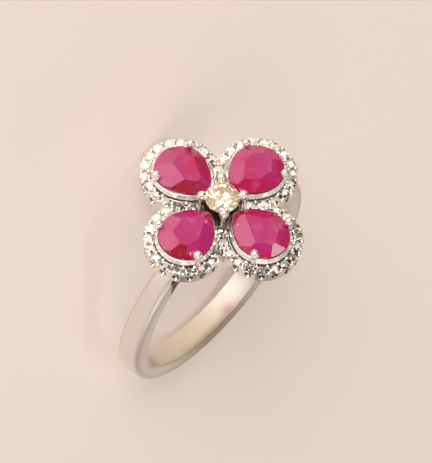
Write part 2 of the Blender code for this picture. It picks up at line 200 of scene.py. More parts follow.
def makePiece(name, points, faces, material, smoothAngle=None, shade=None, paintedLight=None, slot="white_gold"):
    # one object that stands for part of the mount, in the world's frame
    mesh = bpy.data.meshes.new(name)
    mesh.from_pydata(toWorld(points).tolist(), [], [list(face) for face in faces])
    if shade is not None:
        addLayer(mesh, "shadeAndWear", shade)
    if paintedLight is not None:
        addLayer(mesh, "paintedLight", paintedLight)
    cleaned(mesh)
    if smoothAngle is not None:
        mesh.shade_smooth()
        mesh.set_sharp_from_angle(angle=math.radians(smoothAngle))
    placePiece(name, mesh, material, "ring_mount")
    return mesh


def pearPoints(offset, roundCount=96, sideCount=48):
    # the pear's outline along +X, from its tip round and back: an arc, a round end, an arc
    turn = math.radians(ring["pearTurn"])
    radius, reach = ring["pearRadius"], ring["pearReach"]
    extra = (reach ** 2 - radius ** 2) / (2 * (radius + reach * math.cos(turn)))
    sideX = ring["pearMiddle"] - extra * math.cos(turn)
    sideY = -extra * math.sin(turn)
    sideRadius = radius + extra + offset
    last = math.pi - math.asin(-sideY / sideRadius)
    end = np.linspace(-turn, turn, roundCount + 1)
    roundEnd = (ring["pearMiddle"], 0) + onCircle(radius + offset, end)
    up = (sideX, sideY) + onCircle(sideRadius, steps(turn, last, sideCount))
    # the tip is the first point and the last one too, and they merge when a mesh is made
    return np.concatenate([up[:0:-1] * (1, -1), roundEnd, up])


def rowPlaces():
    # the stones of one petal's row: x, y and outward angle, the first and last in the valleys
    value = (ring["stonePitch"] * diagonal - ring["pearMiddle"]) / (ring["rowRadius"] / diagonal)
    end = math.degrees(math.acos(value)) - toValley
    count = 1 + round(math.radians(2 * end) * ring["rowRadius"] / ring["stonePitch"])
    angle = np.linspace(-end, end, count)
    return (ring["pearMiddle"], 0, 0) + onCircle(ring["rowRadius"], np.radians(angle), angle)


def valleyPlaces():
    # the stones on a valley's own line, as distances from the flower's axis
    x, y = rowPlaces()[-1, :2]
    pitch = ring["valleyPitch"]
    first = (x + y) * diagonal - math.sqrt(pitch ** 2 - (ring["stonePitch"] / 2) ** 2)
    return first - pitch * np.arange(ring["valleyStones"])


# Shader nodes
def setInputs(tree, node, inputs):
    # every input is joined to another node's output or set to a value
    for label, given in inputs.items():
        if isinstance(given, bpy.types.NodeSocket):
            tree.links.new(given, node.inputs[label])
        else:
            node.inputs[label].default_value = given


def addNode(tree, kind, inputs, **settings):
    node = tree.nodes.new("ShaderNode" + kind)
    node.location = (220 * len(tree.nodes), 0)
    for name, value in settings.items():
        setattr(node, name, value)
    setInputs(tree, node, inputs)
    return node.outputs


def noise(tree, vector, scale, detail, **more):
    return addNode(tree, "TexNoise", {"Vector": vector, "Scale": scale, "Detail": detail, **more})["Fac"]


def smoothRange(tree, value, limits, most=1.0):
    # 0 at the first limit, the most at the second, by a smooth step
    inputs = {"Value": value, "From Min": limits[0], "From Max": limits[1], "To Max": most}
    return addNode(tree, "MapRange", inputs, interpolation_type="SMOOTHSTEP")["Result"]


def multiplyAdd(tree, first, second, third, clamped=False):
    inputs = {0: first, 1: second, 2: third}
    return addNode(tree, "Math", inputs, operation="MULTIPLY_ADD", use_clamp=clamped)["Value"]


def mixed(tree, share, first, second, way="MIX"):
    inputs = {"Factor": share, "A": first, "B": second}
    return addNode(tree, "Mix", inputs, data_type="RGBA", blend_type=way)["Result"]


def attribute(tree, name, output="Fac"):
    return addNode(tree, "Attribute", {}, attribute_name=name)[output]


def bumped(tree, look, height):
    return addNode(tree, "Bump", {**look["bump"], "Height": height})["Normal"]


def newGroup(name, inputs, outputs):
    # an empty shader node group, its sockets listed by their kinds
    group = bpy.data.node_groups.new(name, "ShaderNodeTree")
    for way, sockets in (("INPUT", inputs), ("OUTPUT", outputs)):
        for kind, labels in sockets.items():
            for label in labels:
                group.interface.new_socket(label, in_out=way, socket_type="NodeSocket" + kind)
    start = group.nodes.new("NodeGroupInput")
    end = group.nodes.new("NodeGroupOutput")
    end.location = (4000, 0)
    return group, start.outputs, end


def newMaterial(name):
    material = bpy.data.materials.new(name)
    material.use_nodes = True
    tree = material.node_tree
    return material, tree, tree.nodes["Principled BSDF"]


def useGroup(tree, group, values, output="Object"):
    place = addNode(tree, "TexCoord", {})[output]
    return addNode(tree, "Group", {"Vector": place, **values}, node_tree=group)


polishWear = {
    "cloudDetail": 4, "hairDetail": 2, "creviceRoughness": 0.25,
    "hairStretch": (0.08, 1.0, 0.6), "hairTurn": (0.2, 0.5, 0.4),
}


def polishGroup():
    # Roughness is a mean plus clouds of finger grease, and more by the shade-and-wear share; height is
    # clouds plus fine hairline scratches, which are noise stretched along one direction; colour goes
    # from the bright one to the dark one by that share, which is painted shade in the setting's
    # crevices and worn plating on the band.
    group, given, end = newGroup("polishedMetal", {
        "Vector": ["Vector"], "Color": ["Bright", "Dark"],
        "Float": ["Shade and wear", "Mean roughness", "Roughness spread", "Cloud scale", "Hair scale", "Hair depth"],
    }, {"Color": ["Color"], "Float": ["Roughness", "Height"]})
    wear = polishWear
    stretch = {"Vector": given["Vector"], "Scale": wear["hairStretch"], "Rotation": wear["hairTurn"]}
    along = addNode(group, "Mapping", stretch)["Vector"]
    clouds = noise(group, given["Vector"], given["Cloud scale"], wear["cloudDetail"])
    hair = noise(group, along, given["Hair scale"], wear["hairDetail"])
    centred = addNode(group, "Math", {0: clouds, 1: 0.5}, operation="SUBTRACT")["Value"]
    rough = multiplyAdd(group, centred, given["Roughness spread"], given["Mean roughness"], True)
    setInputs(group, end, {
        "Color": mixed(group, given["Shade and wear"], given["Bright"], given["Dark"]),
        "Roughness": multiplyAdd(group, given["Shade and wear"], wear["creviceRoughness"], rough, True),
        "Height": multiplyAdd(group, hair, given["Hair depth"], clouds),
    })
    return group


polishedMetal = polishGroup()


def goldMaterial(name, look):
    # polished metal; where light is painted on it, the piece's painted shade and reflection multiply its
    # colour
    material, tree, shader = newMaterial(name)
    polish = useGroup(tree, polishedMetal, {"Shade and wear": attribute(tree, "shadeAndWear"), **look["polish"]})
    colour = polish["Color"]
    if look["paintsLight"]:
        colour = mixed(tree, 1.0, colour, attribute(tree, "paintedLight", "Color"), "MULTIPLY")
    setInputs(tree, shader, {
        "Base Color": colour,
        "Roughness": polish["Roughness"],
        "Normal": bumped(tree, look, polish["Height"]),
        "Metallic": 1.0,
    })
    return material


bandLook = {
    "polish": {
        "Bright": (0.84, 0.785, 0.75, 1), "Dark": (1.0, 0.91, 0.76, 1), "Mean roughness": 0.35,
        "Roughness spread": 0.14, "Cloud scale": 220.0, "Hair scale": 5000.0, "Hair depth": 0.06,
    },
    "bump": {"Strength": 0.25, "Distance": 0.00003},
    "paintsLight": True,
}
# the setting's dark colour is painted shade, mixed in by the shade-and-wear share
settingPolish = {
    "Bright": (0.88, 0.82, 0.77, 1), "Dark": (0.05, 0.022, 0.014, 1), "Mean roughness": 0.10,
    "Roughness spread": 0.10, "Cloud scale": 700.0, "Hair scale": 9000.0, "Hair depth": 0.05,
}
settingLook = {"polish": settingPolish, "bump": {"Strength": 0.2, "Distance": 0.00002}, "paintsLight": False}
# the collets and claws: copies of the setting's white gold with more roughness and a lighter colour, painted
# light that brightens them
litColletPolish = {**settingPolish, "Bright": (0.98, 0.95, 0.92, 1), "Mean roughness": 0.28}
litClawPolish = {**settingPolish, "Bright": (0.97, 0.93, 0.90, 1), "Mean roughness": 0.25}
bandGold = goldMaterial("bandWhiteGold", bandLook)
settingGold = goldMaterial("settingWhiteGold", settingLook)
colletGold = goldMaterial("colletWhiteGold", {**settingLook, "polish": litColletPolish})
clawGold = goldMaterial("clawWhiteGold", {**settingLook, "polish": litClawPolish})

# Between which values of the noise or the tone each colour of a stone comes in
stoneSteps = {"Shift": (0.38, 0.66), "Light": (0.50, 0.80), "Deep": (0.48, 0.20), "Veil": (0.50, 0.72)}
stoneNoise = {"cloudDetail": 3, "cloudWarp": 0.6, "veilDetail": 6, "veilRoughness": 0.7,
              "patchScale": 260.0, "patchDetail": 2}


def stoneGroup():
    # Colour starts as a body colour with patches of a shifted one. A tone, which is soft clouds
    # mixed with each facet's painted light (its tone of painted reflection), takes it to a lighter or a
    # deeper one, and fine veils lighten it again. Height is the veils.
    group, given, end = newGroup("stoneBody", {
        "Vector": ["Vector"], "Color": ["Body", "Light", "Deep", "Shift"],
        "Float": ["Shift amount", "Facet light", "Cloud scale", "Veil scale", "Facet share", "Veil amount"],
    }, {"Color": ["Color"], "Float": ["Height"]})
    kind, vector = stoneNoise, given["Vector"]
    clouds = noise(group, vector, given["Cloud scale"], kind["cloudDetail"], Distortion=kind["cloudWarp"])
    veil = noise(group, vector, given["Veil scale"], kind["veilDetail"], Roughness=kind["veilRoughness"])
    patches = noise(group, vector, kind["patchScale"], kind["patchDetail"])
    toneInputs = {"Factor": given["Facet share"], "A": clouds, "B": given["Facet light"]}
    tone = addNode(group, "Mix", toneInputs, data_type="FLOAT")["Result"]
    colour = given["Body"]
    for step, value, most, other in (
        ("Shift", patches, given["Shift amount"], "Shift"),
        ("Light", tone, 1.0, "Light"),
        ("Deep", tone, 1.0, "Deep"),
        ("Veil", veil, given["Veil amount"], "Light"),
    ):
        share = smoothRange(group, value, stoneSteps[step], most)
        colour = mixed(group, share, colour, given[other])
    setInputs(group, end, {"Color": colour, "Height": veil})
    return group


stoneBody = stoneGroup()


def stoneMaterial(name, look):
    # the stone's body under a clear polish, with a faint painted glow from its body colour where one is given
    material, tree, shader = newMaterial(name)
    body = useGroup(tree, stoneBody, {"Facet light": attribute(tree, "facetLight"), **look["body"]})
    setInputs(tree, shader, {
        "Base Color": body["Color"],
        "Normal": bumped(tree, look, body["Height"]),
        **look["shader"],
    })
    if look["paintedGlow"] > 0:
        setInputs(tree, shader, {"Emission Color": body["Color"], "Emission Strength": look["paintedGlow"]})
    return material


rubyLook = {
    "body": {
        "Body": (0.45, 0.002, 0.086, 1), "Light": (0.50, 0.085, 0.195, 1), "Deep": (0.30, 0.0, 0.022, 1),
        "Shift": (0.37, 0.022, 0.205, 1), "Shift amount": 0.6,
        "Cloud scale": 520.0, "Veil scale": 1000.0, "Facet share": 0.68, "Veil amount": 0.6,
    },
    "shader": {"Roughness": 0.08, "IOR": 1.77, "Transmission Weight": 0.15, "Specular IOR Level": 0.41},
    "bump": {"Strength": 0.08, "Distance": 0.00002},
    "paintedGlow": 0.0,
}
centreLook = {
    "body": {
        "Body": (1.0, 0.86, 0.58, 1), "Light": (1.0, 0.95, 0.80, 1), "Deep": (0.48, 0.25, 0.07, 1),
        "Shift": (0.94, 0.68, 0.36, 1), "Shift amount": 0.6,
        "Cloud scale": 900.0, "Veil scale": 2000.0, "Facet share": 0.8, "Veil amount": 0.2,
    },
    "shader": {"Roughness": 0.005, "IOR": 2.3, "Transmission Weight": 0.90, "Specular IOR Level": 0.5},
    "bump": {"Strength": 0.02, "Distance": 0.00001},
    "paintedGlow": 0.06,
}
smallLook = {
    "body": {
        "Body": (0.82, 0.77, 0.70, 1), "Light": (1.0, 0.97, 0.92, 1), "Deep": (0.05, 0.03, 0.02, 1),
        "Shift": (0.60, 0.50, 0.41, 1), "Shift amount": 0.6,
        "Cloud scale": 1500.0, "Veil scale": 4500.0, "Facet share": 0.9, "Veil amount": 0.5,
    },
    "shader": {"Roughness": 0.03, "IOR": 2.4, "Transmission Weight": 0.2, "Specular IOR Level": 0.5},
    "bump": {"Strength": 0.02, "Distance": 0.00001},
    "paintedGlow": 0.06,
}
rubyStone = stoneMaterial("pinkRuby", rubyLook)
centreStone = stoneMaterial("champagneDiamond", centreLook)
smallStone = stoneMaterial("haloDiamond", smallLook)
print("materials ready")

# Band
bandShape = {
    "width": 2.10,
    "widthAtHead": 1.70,
    "thickness": 1.65,
    "thicknessAtHead": 1.46,
    "taperStart": 80.0,      # degrees from the back
    "edgeDrop": 0.30,        # how far the dome falls at its edges
    "domePower": 6.0,
    "innerEdge": 0.12,
    "insideReach": 0.3,      # above the finger's radius, where the inside has ended
    "insideFade": 0.2,
    "wornMiddle": 192.0,     # degrees from the head: where the plating inside is worn warmest
    "wornSpread": 34.0,
    "wornDepth": 0.9,
    "stations": 360,
    "domeColumns": 32,
    "flatColumns": 10,
    "edgeColumns": 6,
    "insideColumns": 14,
}
# Painted shade and reflection on the band: what it mirrors of the head and of the finger's side, as tones
# that multiply its colour
bandPaintedMarks = {
    "edge": {"tone": (0.48, 0.42, 0.32), "angle": 176.0, "spread": 30.0, "start": 0.2},
    "rim": {"tone": (0.86, 0.85, 0.84), "start": 0.60, "full": 0.95, "above": 0.9, "fade": 0.3},
    "fold": {"tone": (0.72, 0.64, 0.55), "angle": 246.0, "spread": 13.0, "radius": 9.25, "fade": 0.35},
    "blush": {"tone": (0.86, 0.60, 0.65), "angle": 164.5, "spread": 4.0, "across": 0.52, "reach": 0.38},
    "corner": {
        "tone": (0.15, 0.045, 0.04), "angle": 312.8, "radius": 9.0, "slope": 0.163, "soft": 0.10,
        "end": 324.0, "fade": 3.0, "across": 0.8, "side": 0.05,
    },
}


def ramp(distance, width):
    # 0 to 1 over a width
    return np.clip(distance / width, 0, 1)


def toned(share, name):
    return 1 - share[..., None] * (1 - np.array(bandPaintedMarks[name]["tone"]))


def paintedBandMarks(angle, radius, across, inside):
    # painted shade and reflection: a shaded inner edge, shaded grey rims of the dome, a shaded brown
    # stretch inside, a painted pink reflection where a ruby is mirrored and a painted shadow in the
    # corner under the head
    edge, rim, fold, blush, corner = bandPaintedMarks.values()
    toEdge = ramp(across - edge["start"], 1 - edge["start"])
    edgeShade = bell(angle, edge["angle"], edge["spread"]) * toEdge * np.sqrt(toEdge)
    toRim = ramp(np.abs(across) - rim["start"], rim["full"] - rim["start"])
    rimShade = toRim * ramp(radius - ring["fingerRadius"] - rim["above"], rim["fade"])
    foldShade = bell(angle, fold["angle"], fold["spread"]) * ramp(fold["radius"] - radius, fold["fade"])
    rubyReflection = bell(angle, blush["angle"], blush["spread"]) * bell(across, blush["across"], blush["reach"])
    line = corner["radius"] + corner["slope"] * (angle - corner["angle"])
    cornerShade = ramp(line - radius, corner["soft"]) * ramp(corner["end"] - angle, corner["fade"])
    cornerShade = cornerShade * (1 - inside) * ramp(across - corner["across"], corner["side"])
    paintedLight = toned(edgeShade, "edge") * toned(rubyReflection * inside, "blush") * toned(rimShade, "rim")
    return paintedLight * toned(foldShade, "fold") * toned(cornerShade, "corner")


def bandPoints():
    # a section of across and radius: a superellipse dome outside, flat sides, a flat inside with
    # round edges; width and thickness fall by a smooth step from the back towards the head
    shape = bandShape
    dome = np.sin(np.linspace(-math.pi / 2, math.pi / 2, shape["domeColumns"] + 1))
    corner = np.linspace(0, math.pi / 2, shape["edgeColumns"] + 1)
    angle = fullTurn(shape["stations"])[:, None]
    degrees = np.degrees(angle)
    share = smooth(ramp(np.abs(180 - degrees) - shape["taperStart"], 180 - shape["taperStart"]))
    half = (shape["width"] + (shape["widthAtHead"] - shape["width"]) * share) / 2
    thickness = shape["thickness"] + (shape["thicknessAtHead"] - shape["thickness"]) * share
    inner, edge = ring["fingerRadius"], shape["innerEdge"]
    domeRadius = inner + thickness - shape["edgeDrop"] * np.abs(dome) ** shape["domePower"]
    roundAcross = half - edge + edge * np.cos(corner)
    roundRadius = np.broadcast_to(inner + edge - edge * np.sin(corner), roundAcross.shape)
    down = np.linspace(0, 1, shape["flatColumns"] + 1)[1:-1]
    flatAcross = half + 0 * down
    flatRadius = domeRadius[:, -1:] + (inner + edge - domeRadius[:, -1:]) * down
    insideAcross = (half - edge) * np.linspace(1, -1, shape["insideColumns"] + 1)[1:-1]
    insideRadius = inner + 0 * insideAcross
    across = np.concatenate([
        half * dome, flatAcross, roundAcross, insideAcross, -roundAcross[:, ::-1], -flatAcross,
    ], axis=1)
    radius = np.concatenate([
        domeRadius, flatRadius, roundRadius, insideRadius, roundRadius[:, ::-1], flatRadius[:, ::-1],
    ], axis=1)
    along = radius * np.sin(angle)
    points = stacked((along + across) * diagonal, (along - across) * diagonal, radius * np.cos(angle))
    # wear: a bell over the angle, on the inside alone
    inside = ramp(inner + shape["insideReach"] - radius, shape["insideFade"])
    worn = shape["wornDepth"] * inside * bell(degrees, shape["wornMiddle"], shape["wornSpread"])
    # the band's painted shade and reflection, as tones that multiply its colour
    paintedLight = paintedBandMarks(degrees, radius, across / half, inside)
    return *asGrid(points, wrapRows=True), worn.ravel(), paintedLight.reshape(-1, 3)


bandPlaces, bandFaces, bandWear, bandPaintedTone = bandPoints()
makePiece("band", bandPlaces, bandFaces, bandGold, 40, bandWear, bandPaintedTone)

# Collets with their seats and tapered baskets
setting = {
    "wall": 0.25,
    "wallSwell": 0.02,
    "belowGirdle": 0.08,
    "lip": 0.04,
    "lipSteps": 4,
    "bevel": 0.30,
    "bevelFoot": 0.06,
    "seatWidth": 0.22,
    "seatDepth": 0.30,
    "seatEdge": 0.01,
    "basketDepth": 0.95,
    "basketTaper": 0.95,
    "basketWall": 0.32,
    "basketKnee": (0.5, 0.45),    # shares of the taper and of the depth where the basket bends
    "flange": 0.15,
    "flangeTop": 0.3,
    "intoHalo": 0.1,
    "shade": 0.75,           # how dark the wall is between the bevel and the halo
    "shadeAbove": 0.1,       # above the flange, where that shade begins
}


def settingPoints():
    # closed section: rounded lip, outer wall, basket down to its foot and back up inside, seat
    shape = setting
    top = ring["rubyGirdle"] - shape["belowGirdle"]
    bottom, depth = ring["haloBottom"], shape["basketDepth"]
    inside, taper, wall = -shape["seatWidth"], shape["basketTaper"], shape["wall"]
    outside, swell = shape["basketWall"] + inside, wall + shape["wallSwell"]
    lip, bevelFoot = shape["lip"], top - shape["bevel"]
    kneeTaper, kneeDepth = shape["basketKnee"]
    arc = np.linspace(0, math.pi / 2, shape["lipSteps"] + 1)
    outerLip = [(lip + lip * math.sin(a), top - lip + lip * math.cos(a)) for a in arc]
    profile = [(shape["seatEdge"], top - shape["seatEdge"]), (lip, top)] + outerLip + [
        (wall, bevelFoot),
        (swell, bevelFoot - shape["bevelFoot"]),
        (swell, ring["haloTop"] - shape["intoHalo"]),
        (wall, bottom + shape["flange"] + shape["flangeTop"]),
        (wall, bottom + shape["flange"]),
        (outside - taper * kneeTaper, bottom - depth * kneeDepth),
        (outside - taper, bottom - depth),
        (inside - taper, bottom - depth),
        (inside, bottom),
        (inside, top - shape["seatDepth"]),
    ]
    loops = [np.insert(pearPoints(offset), 2, height, axis=1) for offset, height in profile]
    points, faces = asGrid(np.array(loops), wrapRows=True)
    # the outer wall from under the bevel down to the flange lies in the shadow of the halo
    offset, height = np.array(profile).T
    shadeFoot = bottom + shape["flange"] + shape["shadeAbove"]
    shaded = (offset > 0) & (height < bevelFoot - shape["seatEdge"]) & (height > shadeFoot)
    shade = np.repeat(shaded, len(loops[0])) * shape["shade"]
    return *onPetals(points, faces), np.tile(shade, len(petals))


colletPlaces, colletFaces, colletShade = settingPoints()
makePiece("colletsAndBaskets", colletPlaces, colletFaces, colletGold, 35, colletShade)

# Halo frame
haloFrame = {
    "rimStations": 400,
    "windowPoints": 400,
    "sideStations": 48,
    "notchStations": 12,
    "fanStations": 8,
    "topRows": 14,
    "wallRows": 24,
    "tipWedge": 1.05,        # how far out along a valley the side stations end
    "wellRadius": 0.50,
    "wellDepth": 0.20,
    "wellAtWindow": 0.02,
    "scallopHalfWidth": 0.27,
    "scallopHalfHeight": 0.34,
    "scallopDrop": 0.49,
    "scallopDepth": 0.32,
    "scallopFloor": 1.35,    # above 1, it makes the scallop's floor flatter
    # painted shade: between the stones, in the flower's middle, growing towards one side of the halo and
    # deeper in the valleys
    "betweenStart": 0.06,    # share of the top's width that stays bright at either side
    "betweenSlope": 6.0,
    "darkMiddle": 1.75,
    "middleFade": 0.4,
    "shadedSide": 315.0,       # degrees in the flower's plane
    "shadeReach": 7.5,
    "shadeSlope": 0.25,
    "shadeLeast": 0.35,
    "shadedValley": 1.5,       # half the width of the more shaded strip along each valley
    "valleyShare": 0.45,
}


def stonePlaces():
    # every small diamond: x, y, a turn in degrees and its size beside the usual one
    places = []
    row, along = rowPlaces(), valleyPlaces()
    for degrees in petals.values():
        spun = turned(stacked(row[:, 0], row[:, 1], 0), degrees)
        places.append(stacked(spun[:, 0], spun[:, 1], row[:, 2] + degrees, 1))
        spun = turned(stacked(along, 0, 0), degrees + toValley)
        places.append(stacked(spun[:, 0], spun[:, 1], degrees + toValley, ring["valleySize"]))
    return np.concatenate(places)


def paintedShadeSide(places):
    # how much painted shade the halo takes, 0 to 1: it grows across the flower and again across every petal
    petal = np.sign(places[:, :2]) * ring["pearMiddle"] * diagonal
    outward = places[:, :2] - petal
    outward /= np.maximum(lengths(outward), 1e-6)[:, None]
    side = math.radians(haloFrame["shadedSide"])
    towards = np.array([math.cos(side), math.sin(side)])
    across = places[:, :2] @ towards / haloFrame["shadeReach"]
    return np.clip(0.5 + haloFrame["shadeSlope"] * (outward @ towards + across), 0, 1)


def frameOutlines():
    # one petal's stations as an inner and an outer point, and whether the wall there is open to
    # the air: half a petal from the rim's middle to the flower's axis, then its mirror before it
    shape = haloFrame
    middle, notchRadius = ring["pearMiddle"], ring["notchRadius"]
    reach = middle * diagonal
    notchAt = reach + math.sqrt((ring["rimRadius"] + notchRadius) ** 2 - reach ** 2)
    lean = math.atan2(reach, notchAt - reach)
    rimEnd = lean + math.pi / 4
    rim = np.linspace(0, rimEnd, shape["rimStations"] // 2 + 1)
    innerRim = (middle, 0) + onCircle(ring["pearRadius"] + ring["windowOffset"], rim)
    outerRim = (middle, 0) + onCircle(ring["rimRadius"], rim)
    # inner side: the window's outline from where the rim ends to its tip
    window = pearPoints(ring["windowOffset"], shape["windowPoints"], shape["windowPoints"])
    upper = window[window[:, 1] > -1e-9]
    upper = upper[np.arctan2(upper[:, 1], upper[:, 0] - middle) >= rimEnd]
    gaps = np.concatenate([[0], np.cumsum(lengths(np.diff(upper, axis=0)))])
    gone = steps(0, gaps[-1], shape["sideStations"])
    innerSide = stacked(np.interp(gone, gaps, upper[:, 0]), np.interp(gone, gaps, upper[:, 1]))
    # outer side: the notch's small arc, then the valley's line towards the flower's axis
    notchAngle = math.radians(225) + lean - steps(0, lean, shape["notchStations"])
    notch = notchAt * diagonal + onCircle(notchRadius, notchAngle)
    line = steps(notchAt - notchRadius, shape["tipWedge"], shape["sideStations"] - len(notch))
    fan = steps(shape["tipWedge"], 0, shape["fanStations"])
    valley = np.concatenate([line, fan]) * diagonal
    inner = np.concatenate([innerRim, innerSide, np.broadcast_to(upper[-1], (len(fan), 2))])
    outer = np.concatenate([outerRim, notch, stacked(valley, valley)])
    isWall = np.arange(len(outer)) < len(rim) + len(notch)
    inner = np.concatenate([inner[:0:-1] * (1, -1), inner])
    outer = np.concatenate([outer[:0:-1] * (1, -1), outer])
    return inner, outer, np.concatenate([isWall[:0:-1], isWall])


def framePoints():
    # one petal: stations run round its window; at each the section crosses the top, falls down
    # the outer wall and comes back below. Between petals the sections end on the valley's plane.
    shape = haloFrame
    inner, outer, isWall = frameOutlines()
    top, bottom = ring["haloTop"], ring["haloBottom"]
    # the top dips into a round well under each stone
    across = np.linspace(0, 1, shape["topRows"] + 1)
    topFlat = inner[:, None] + (outer - inner)[:, None] * across[:, None]
    distance = lengths(topFlat[:, :, None] - stonePlaces()[:, :2]).min(axis=2)
    well = np.sqrt(np.clip(1 - (distance / shape["wellRadius"]) ** 2, 0, 1))
    dip = shape["wellDepth"] * well
    dip[:, 0] = np.minimum(dip[:, 0], shape["wellAtWindow"])
    topPoints = stacked(topFlat[..., 0], topFlat[..., 1], top - dip)
    # the outer wall has a cut under each stone but those in the valleys
    heights = steps(top, bottom, shape["wallRows"])
    outAngle = np.arctan2(outer[:, 1], outer[:, 0] - ring["pearMiddle"])[:, None]
    gap = np.abs(outAngle - np.radians(rowPlaces()[1:-1, 2])).min(axis=1) * ring["rimRadius"]
    aside = (gap[:, None] / shape["scallopHalfWidth"]) ** 2
    below = ((top - heights - shape["scallopDrop"]) / shape["scallopHalfHeight"]) ** 2
    cut = smooth(np.clip(shape["scallopFloor"] - aside - below, 0, 1)) * isWall[:, None]
    inward = (inner - outer) / np.maximum(lengths(inner - outer), 1e-6)[:, None]
    wallFlat = outer[:, None] + inward[:, None] * (shape["scallopDepth"] * cut)[..., None]
    wallPoints = stacked(wallFlat[..., 0], wallFlat[..., 1], heights)
    belowPoints = stacked(inner[:, :1], inner[:, 1:], bottom)
    points, faces = asGrid(np.concatenate([topPoints, wallPoints, belowPoints], axis=1))
    columns = len(points) // len(inner)
    station, column = np.divmod(faces[:, 0], columns)
    onWall = (column >= shape["topRows"]) & (column < shape["topRows"] + shape["wallRows"])
    places, allFaces = onPetals(points, faces[~onWall | isWall[station] | isWall[station + 1]])
    # painted shade in the crevices: the wells, the top between the stones and the cuts, deeper on
    # the halo's shaded side and in the valleys; painted shade darkens the flower's middle throughout
    nearMiddle = ramp(shape["darkMiddle"] - lengths(topFlat), shape["middleFade"])
    fromSides = np.minimum(across - shape["betweenStart"], 1 - shape["betweenStart"] - across)
    between = np.clip(shape["betweenSlope"] * fromSides, 0, 1)
    bare = np.zeros((len(inner), 1))
    shadeAndWear = np.concatenate([np.maximum(well, between), np.sqrt(cut), bare], axis=1)
    middleShade = np.concatenate([nearMiddle, 0 * cut, bare], axis=1)
    valley = np.clip(1 - np.abs(places[:, :2]).min(axis=1) / shape["shadedValley"], 0, 1)
    sideShade = np.clip(paintedShadeSide(places) + shape["valleyShare"] * valley, 0, 1)
    sideShade = shape["shadeLeast"] + (1 - shape["shadeLeast"]) * sideShade
    shadeAndWear, middleShade = (np.tile(shade.ravel(), len(petals)) for shade in (shadeAndWear, middleShade))
    return places, allFaces, np.maximum(shadeAndWear * sideShade, middleShade)


framePlaces, frameFaces, frameShade = framePoints()
makePiece("haloFrame", framePlaces, frameFaces, settingGold, 40, frameShade)

# Claws
claws = {
    "radius": 0.20,
    "ballRadius": 0.37,
    "centreBallRadius": 0.42,
    "ballStretch": 1.12,
    "clearance": 0.12,
    "straightShare": 0.55,
    "footAboveHalo": 0.15,
    "sides": 28,
    "shaftRows": 14,
    "ballRows": 16,
    "rubyAngle": 66.5,
    "rubyRise": 0.45,
    "rubyOverhang": 0.24,
    "centreRadius": 1.38,
    "centreRise": 0.26,
    "centreOverhang": 0.04,
}


def clawPoints(ball, overhang, size):
    # a round shaft that leans over smoothly near its top and ends in a ball, leaning towards -X
    shape = claws
    foot = ring["haloBottom"] + shape["footAboveHalo"]
    shaft, stretch, straight = shape["radius"], shape["ballStretch"], shape["straightShare"]
    neck = math.sqrt(size ** 2 - shaft ** 2)
    up = np.linspace(foot, ball - neck * stretch, shape["shaftRows"])
    latitude = np.linspace(-math.asin(neck / size), math.pi / 2, shape["ballRows"])
    radius = np.concatenate([[0.0], 0 * up + shaft, size * np.cos(latitude)])[:, None]
    height = np.concatenate([[foot], up, ball + size * stretch * np.sin(latitude)])[:, None]
    lean = overhang * smooth(ramp((height - foot) / (ball - foot) - straight, 1 - straight))
    return asGrid(onCircle(radius, fullTurn(shape["sides"]), height) - stacked(lean, 0, 0))


def allClaws():
    shape = claws
    away = shape["clearance"] + shape["radius"]
    rubyBall = ring["rubyGirdle"] + ring["girdle"] + shape["rubyRise"]
    centreBall = ring["centreGirdle"] + ring["girdle"] + shape["centreRise"]
    rubyPoints, rubyFaces = clawPoints(rubyBall, shape["rubyOverhang"], shape["ballRadius"])
    centrePoints, centreFaces = clawPoints(centreBall, shape["centreOverhang"], shape["centreBallRadius"])
    parts = []
    for degrees in petals.values():
        for side in (-1, 1):
            atRound = turned(rubyPoints + (ring["pearRadius"] + away, 0, 0), side * shape["rubyAngle"])
            parts.append((turned(atRound + (ring["pearMiddle"], 0, 0), degrees), rubyFaces))
        inValley = centrePoints + (shape["centreRadius"] + away, 0, 0)
        parts.append((turned(inValley, degrees + toValley), centreFaces))
    return joined(parts)


makePiece("claws", *allClaws(), clawGold, 50)

# Halo beads
beads = {
    "radius": 0.165,
    "fromRow": 0.29,
    "rise": 0.03,
    "inNotch": (0.56, 0.98),
    "sides": 12,
    "rows": 7,
    "sink": 0.6,             # how far below its middle a bead goes on, in radians
}


def beadPlaces():
    # a pair of grains between each two neighbouring stones, on either side of the row, and two
    # more on each valley's own line where it opens into the notch
    places = []
    row, along = rowPlaces(), valleyPlaces()
    between = np.radians((row[:-1, 2] + row[1:, 2]) / 2)
    for degrees in petals.values():
        for side in (-1, 1):
            away = ring["rowRadius"] + side * beads["fromRow"]
            places.append(turned((ring["pearMiddle"], 0, 0) + onCircle(away, between, 0), degrees))
            inValley = stacked(along + ring["valleyPitch"] / 2, side * beads["fromRow"], 0)
            places.append(turned(inValley, degrees + toValley))
        places.append(turned(stacked(along[0] + np.array(beads["inNotch"]), 0, 0), degrees + toValley))
    return np.concatenate(places)


def beadPoints():
    # domes: latitude rows by longitude columns, copied to every place
    latitude = np.linspace(-beads["sink"], math.pi / 2, beads["rows"])[:, None]
    size = beads["radius"]
    one, faces = asGrid(onCircle(size * np.cos(latitude), fullTurn(beads["sides"]), size * np.sin(latitude)))
    places = beadPlaces() + (0, 0, ring["haloTop"] + beads["rise"])
    starts = np.arange(len(places)) * len(one)
    return (places[:, None] + one).reshape(-1, 3), (faces + starts[:, None, None]).reshape(-1, 4)


makePiece("haloBeads", *beadPoints(), settingGold, 60)

